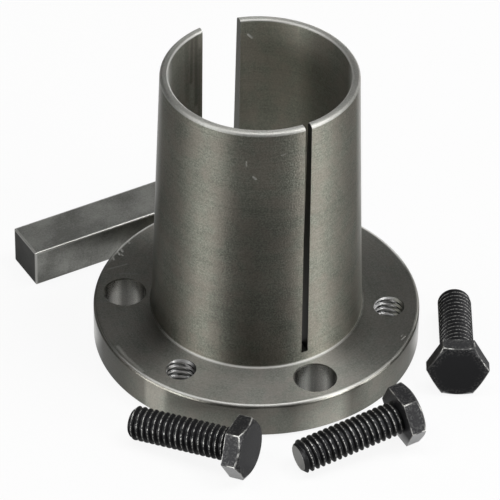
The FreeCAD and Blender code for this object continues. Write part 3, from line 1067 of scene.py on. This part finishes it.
class BUSHING_OT_turned_bushing(bpy.types.Operator):
    """Turn the bushing, cut its keyway and slit, and drill and tap its flange"""
    bl_idname = "bushing.turned_bushing"
    bl_label = "Turned bushing"

    # how far the cutters reach past the bushing
    OVER = 2 * MM

    def execute(self, context):
        s = settings().bushing
        piece = lathe("bushing_dressed", bushing_section(s), BUSHING_SIDES)
        half = s.keyway_width / 2
        inside = 10 * MM
        keyway = prism("keyway", rectangle(-half, inside, half, s.keyway_reach),
                       -self.OVER, s.total_length + self.OVER)
        combine(piece, keyway, "DIFFERENCE")
        combine(piece, self.saw_slit(s), "DIFFERENCE")
        for hole in self.holes(s):
            combine(piece, hole, "DIFFERENCE")
        finish_surface(piece)
        give_finishes(piece, "bushing", list(TURNED_REGIONS), bushing_region(s))
        return {"FINISHED"}

    def saw_slit(self, s):
        half = s.slit_width / 2
        near, far = s.bore_radius / 2, s.taper_radius + self.OVER
        foot = s.flange_thickness + s.slit_foot
        slit = prism("slit", rectangle(near, -half, far, half), foot, s.total_length + self.OVER)
        leaning = Matrix.Rotation(s.slit_angle, 4, "Z") @ Matrix.Rotation(-s.slit_lean, 4, "X")
        lifted = Matrix.Translation((0, 0, foot))
        slit.data.transform(lifted @ leaning @ lifted.inverted())
        return slit

    def holes(self, s):
        """Cutters of the clearance holes, the tapped holes' two mouths and their threads, in turn."""
        material = finish_called("cut_steel")
        top, bevel, flare = s.flange_thickness, s.clearance_bevel, s.clearance_flare
        wall, mouth = s.clearance_radius, s.clearance_radius + bevel + flare
        section = [(0, -flare), (mouth, -flare), (wall, bevel), (wall, top - bevel),
                   (mouth, top + flare), (0, top + flare)]
        drill = lathe("clearance_hole", section, HOLE_SIDES)
        yield on_bolt_circle(drill, CLEARANCE_ANGLE, material)
        reach = s.tap_bevel_radius - s.tap_cone_radius
        wide = s.tap_bevel_radius + self.OVER
        for low, high in ((-self.OVER, reach), (top + self.OVER, top - reach)):
            section = [(0, low), (wide, low), (s.tap_cone_radius, high), (0, high)]
            cone = lathe("tap_mouth", section, MOUTH_SIDES)
            yield on_bolt_circle(cone, TAPPED_ANGLE, material)
        thread = settings().thread
        root = thread.tapped_radius
        tap = threaded_rod("tapped_hole", (root + thread.tapped_depth, root),
                           (thread.tapped_groove, thread.tapped_crest),
                           -self.OVER, top + self.OVER, material)
        yield on_bolt_circle(tap, TAPPED_ANGLE, material)


def beside_flange(angle, gap, shift, half_width):
    """Foot point and direction of a loose piece that lies along the flange's rim."""
    outward = Vector((*on_circle(1, angle), 0))
    along = Vector((-outward.y, outward.x, 0))
    distance = settings().bushing.flange_radius + gap * MM + half_width
    return outward * distance + along * shift * MM, along


def frame_matrix(x, y, z, place):
    """Matrix that takes the axes to these three directions, at a place."""
    return Matrix.Translation(place) @ Matrix((x, y, z)).transposed().to_4x4()


class BUSHING_OT_drawn_key(bpy.types.Operator):
    """Make the drawn key, lying on its side behind the bushing"""
    bl_idname = "bushing.drawn_key"
    bl_label = "Drawn key"

    # angle round the bushing, gap to its rim, shift along it
    PLACE = (94.0, 1.4, 5.95)

    def execute(self, context):
        s = settings().key
        half, side = s.length / 2, s.height / 2
        middle, along = beside_flange(*self.PLACE, side)
        piece = prism("key_dressed", rectangle(-half, -side, half, side), 0, s.width)
        round_edges(piece, s.edge, segments=3)
        finish_surface(piece, sharp_angle=40)
        keep_own_place(piece)
        upward = Vector((0, 0, 1))
        piece.data.transform(frame_matrix(along, upward.cross(along), upward, middle))
        give_finishes(piece, "key", ["drawn_steel", "sawn_end"],
                      lambda face: "sawn_end" if abs(face.normal.dot(along)) > 0.8 else "drawn_steel")
        return {"FINISHED"}


def cap_screw(name, phase):
    """Cap screw about its own axis, head above the bearing plane and thread below it.

    The phase says where the thread starts, in turns.
    """
    s, thread = settings().screw, settings().thread
    material = finish_called("rubbed_black_oxide")
    over = 1 * MM
    corner = s.head_across / math.sqrt(3)
    head = prism("head", [on_circle(corner, 60 * side) for side in range(6)], 0, s.head_height)
    outside = corner + over
    drop = (outside - s.head_face / 2) * math.tan(s.head_bevel)
    section = [(0, -over), (outside, -over), (outside, s.head_height - drop),
               (s.head_face / 2, s.head_height), (0, s.head_height)]
    blank = lathe("blank", section, BLANK_SIDES)
    # a hair's lift keeps the blank's top off the head's own plane
    blank.data.transform(Matrix.Translation((0, 0, 0.00001 * MM)))
    combine(head, blank, "INTERSECT")
    round_edges(head, s.edge_break, segments=2, limit=25)

    crest, root = thread.outer_radius, thread.root_radius
    rod = threaded_rod(name, (crest, root), (thread.crest_width, thread.root_width),
                       -s.length, over + thread.pitch, material, phase)
    section = [(0, -s.length), (crest - s.tip_bevel, -s.length),
               (crest + over, -s.length + s.tip_bevel + over), (crest + over, over), (0, over)]
    combine(rod, lathe("envelope", section, HOLE_SIDES), "INTERSECT")
    combine(rod, head, "UNION")
    finish_surface(rod, sharp_angle=35)
    return rod


class BUSHING_OT_cap_screws(bpy.types.Operator):
    """Make the three cap screws, each lying on a flat of its head and the end of its thread"""
    bl_idname = "bushing.cap_screws"
    bl_label = "Cap screws"

    # angle round the bushing, gap to its rim, shift along it, which way the head points, thread's phase
    PLACES = {
        "cap_screw_left": (219.6, 0.65, 3.0, 1, -0.36),
        "cap_screw_front": (271.5, 3.1, -1.7, 1, 0.08),
        "cap_screw_right": (333.7, 1.2, -5.6, -1, -0.48),
    }
    # radius of the plain shank that the screw is laid down by
    SHANK_RADIUS = 3.97 * MM

    def execute(self, context):
        s = settings().screw
        flat = s.head_across / 2
        lean = math.atan2(flat - self.SHANK_RADIUS, s.length - s.tip_bevel)
        raised = Vector((0, 0, 1))
        for node, (angle, gap, shift, way, phase) in self.PLACES.items():
            middle, along = beside_flange(angle, gap, shift, s.head_across / math.sqrt(3))
            to_head = along * way
            axis = to_head * math.cos(lean) + raised * math.sin(lean)
            upward = raised * math.cos(lean) - to_head * math.sin(lean)
            seat = middle + to_head * (s.length / 2) + raised * (flat * math.cos(lean))
            piece = cap_screw(node + "_dressed", phase)
            keep_own_place(piece)
            piece.data.transform(frame_matrix(upward.cross(axis), upward, axis, seat))
            give_finishes(piece, node, ["rubbed_black_oxide"])
        return {"FINISHED"}


# Stage

WHITE = (1.0, 1.0, 1.0, 1.0)
LAMP_DISTANCE = 0.9
LAMPS_AIM = (0, 0, 35 * MM)
# How far behind the axis the mirrored floor is painted white, in millimetres, and how much further back
# that lies for each millimetre aside of the barrel
BEHIND_FADE, BEHIND_SPREAD = (5, 35), 1.2
# How far past the rim the near floor's painted share of white fades out
NEAR_FADE = (10, 15)
# Within this distance of the bolt circle the mirrored floor is painted dark
HOLES_REACH = 7.2
# Where the painted white of the mirrored floor beside the flange starts, is full, fades and ends: past the
# rim, behind the axis
BESIDE_RIM, BESIDE_AXIS = (-1, 1, 3, 7), (-12, -2, 8, 15)


def studio_direction(azimuth, elevation):
    """Direction from the bushing, azimuth in degrees to the camera's right, 0 towards the camera."""
    turned = math.radians(azimuth) + settings().stage.turn
    level, raised = on_circle(1, elevation)
    return Vector((math.sin(turned) * level, -math.cos(turned) * level, raised))


def add_softbox(azimuth, elevation, radiance):
    """Square soft lamp aimed at the bushing; radiance 1 is white."""
    side = settings().stage.softbox
    lamp = bpy.data.lights.new("softbox_%+d_%d" % (azimuth, elevation), "AREA")
    lamp.shape = "SQUARE"
    lamp.size = side
    lamp.energy = radiance * math.pi * side * side
    light = new_object(lamp.name, lamp)
    outward = studio_direction(azimuth, elevation)
    light.location = Vector(LAMPS_AIM) + outward * LAMP_DISTANCE
    light.rotation_mode = "QUATERNION"
    light.rotation_quaternion = outward.to_track_quat("Z", "Y")


def add_camera(s):
    """Camera at the picture's viewing angle."""
    pitch = s.elevation + s.tilt
    back = Vector((math.sin(s.pan) * math.cos(pitch), -math.cos(s.pan) * math.cos(pitch), math.sin(pitch)))
    right = Vector((0, 0, 1)).cross(back).normalized()
    up = back.cross(right)
    rolled_right = right * math.cos(s.roll) + up * math.sin(s.roll)
    rolled_up = up * math.cos(s.roll) - right * math.sin(s.roll)
    place = Vector((0, -math.cos(s.elevation), math.sin(s.elevation))) * s.distance
    lens = bpy.data.cameras.new("camera")
    lens.sensor_width = 36.0
    lens.lens = s.lens
    lens.clip_start, lens.clip_end = 0.05, 20.0
    camera = new_object("camera", lens)
    camera.matrix_world = Matrix.Rotation(s.turn, 4, "Z") @ frame_matrix(rolled_right, rolled_up, back, place)
    bpy.context.scene.camera = camera


def white_share(t, camera_share, mirror_share):
    """How much of plain white a ray gets: one share for the camera's rays, one for mirrored rays."""
    path = t.node("ShaderNodeLightPath").outputs
    mirrored = t.most(path["Is Glossy Ray"], path["Is Transmission Ray"])
    return t.most(t.times(path["Is Camera Ray"], camera_share), t.times(mirrored, mirror_share))


def mirrored_floor(t, s, place, radius):
    """Share of plain white that metal mirrors at each place of the floor: painted light and shade, laid out
    to brighten the metal's reflections behind the barrel, near the rim and beside the flange, and to darken
    them under the holes.
    """
    bushing = settings().bushing
    rim = bushing.flange_radius
    turned = t.node("ShaderNodeVectorRotate", rotation_type="Z_AXIS", inputs={
        "Vector": place, "Angle": -s.turn})
    aside, away, _ = t.parts(turned.outputs[0])
    aside = t.absolute(aside)
    # painted white behind the barrel, where only its outlines mirror it
    depth = t.subtract(away, t.times(t.subtract(aside, bushing.taper_radius), BEHIND_SPREAD))
    behind = t.spread(depth, s.floor_mirrored, 1.0, *(end * MM for end in BEHIND_FADE))
    # painted light: close to the rim the floor is lighter in mirrored rays
    near = t.spread(radius, s.floor_near, 0.0, *(rim + end * MM for end in NEAR_FADE))
    # painted shade: the ground under the flange's holes is dark in mirrored rays
    off_holes = t.absolute(t.subtract(radius, bushing.bolt_circle))
    near = t.times(near, t.math("GREATER_THAN", off_holes, HOLES_REACH * MM))
    # painted white close beside the flange, where only the rim's outlines mirror it
    beside = t.least(t.between(aside, *(rim + end * MM for end in BESIDE_RIM)),
                     t.between(away, *(end * MM for end in BESIDE_AXIS)))
    return t.most(behind, t.most(near, beside))


def add_floor(s):
    """Floor that the camera sees nearly white, with a faint shadow, and the metal sees as grey paper with
    painted patches of light and shade.
    """
    material = bpy.data.materials.new("studio_floor")
    material.use_nodes = True
    t = Nodes(material.node_tree)
    t.tree.nodes.clear()
    path = t.node("ShaderNodeLightPath").outputs
    matt = t.node("ShaderNodeBsdfDiffuse", t.spread(path["Is Camera Ray"], s.floor_bounce, 0.95))
    white = t.node("ShaderNodeEmission", WHITE, 1.0)
    place = t.node("ShaderNodeTexCoord").outputs["Object"]
    radius = t.vector("LENGTH", place)
    # the ground under the flange, seen through the bore and the holes, is plain matt paper
    rim = settings().bushing.flange_radius
    seen = t.spread(radius, 0.0, s.floor_white, rim - 2 * MM, rim - 1 * MM)
    factor = white_share(t, seen, mirrored_floor(t, s, place, radius))
    mixed = t.node("ShaderNodeMixShader", factor, matt.outputs[0], white.outputs[0])
    t.node("ShaderNodeOutputMaterial", mixed.outputs[0])
    size, sunk = 4.0, -0.05 * MM
    floor = new_object("studio_floor")
    corners = [(x, y, sunk) for x, y in rectangle(-size, -size, size, size)]
    floor.data.from_pydata(corners, [], [(0, 1, 2, 3)])
    floor.data.materials.append(material)
    floor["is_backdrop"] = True


def light_world(fill):
    """Dim light from all round, white where the camera looks past the floor."""
    world = bpy.data.worlds.new("studio")
    bpy.context.scene.world = world
    world.use_nodes = True
    t = Nodes(world.node_tree)
    t.tree.nodes.clear()
    dim = t.node("ShaderNodeBackground", WHITE, fill)
    white = t.node("ShaderNodeBackground", WHITE, 1.0)
    mixed = t.node("ShaderNodeMixShader", white_share(t, 1.0, 0.0), dim.outputs[0], white.outputs[0])
    t.node("ShaderNodeOutputWorld", mixed.outputs[0])


class BUSHING_OT_studio_stage(bpy.types.Operator):
    """Set the pale floor, the soft lamps and the camera"""
    bl_idname = "bushing.studio_stage"
    bl_label = "Studio stage"

    # azimuth to the camera's right, elevation, radiance
    SOFTBOXES = (
        (90, 62, 7.19), (0, 88, 5.78), (-90, 62, 3.87),
        (-45, 6, 5.07), (-65, 6, 3.13), (55, 6, 3.88), (70, 6, 4.41), (55, 30, 2.87), (90, 6, 1.40),
        (165, 6, 1.88), (135, 6, 1.55), (110, 30, 0.80), (180, 35, 0.58),
    )

    def execute(self, context):
        stage = settings().stage
        add_floor(stage)
        light_world(stage.fill)
        for box in self.SOFTBOXES:
            add_softbox(*box)
        add_camera(stage)
        context.scene.view_settings.view_transform = "Standard"
        return {"FINISHED"}


class VIEW3D_PT_bushing(bpy.types.Panel):
    """Sizes, finishes and steps of the part"""
    bl_label = "Flanged taper bushing"
    bl_space_type = "VIEW_3D"
    bl_region_type = "UI"
    bl_category = "Bushing"

    def draw(self, context):
        part = settings()
        for title in BushingPart.__annotations__:
            group = getattr(part, title)
            box = self.layout.box()
            box.label(text=title.capitalize())
            for name in group.__annotations__:
                box.prop(group, name)
        for step in STEPS:
            self.layout.operator(step.bl_idname)


STEPS = (
    BUSHING_OT_turned_bushing,
    BUSHING_OT_drawn_key,
    BUSHING_OT_cap_screws,
    BUSHING_OT_studio_stage,
)
CLASSES = (
    BushingSizes, ThreadSizes, ScrewSizes, KeySizes, Finishes, StageSettings, BushingPart,
    *STEPS, VIEW3D_PT_bushing,
)


def register():
    for cls in CLASSES:
        bpy.utils.register_class(cls)
    bpy.types.Scene.bushing_part = PointerProperty(type=BushingPart)


def unregister():
    del bpy.types.Scene.bushing_part
    for cls in reversed(CLASSES):
        bpy.utils.unregister_class(cls)


def main():
    register()
    bpy.ops.bushing.turned_bushing()
    bpy.ops.bushing.drawn_key()
    bpy.ops.bushing.cap_screws()
    bpy.ops.bushing.studio_stage()
    boxes = {"cad": CAD_BOX, "visual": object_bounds()}
    {name: [list(corner) for corner in box] for name, box in boxes.items()}


if __name__ == "__main__":
    main()
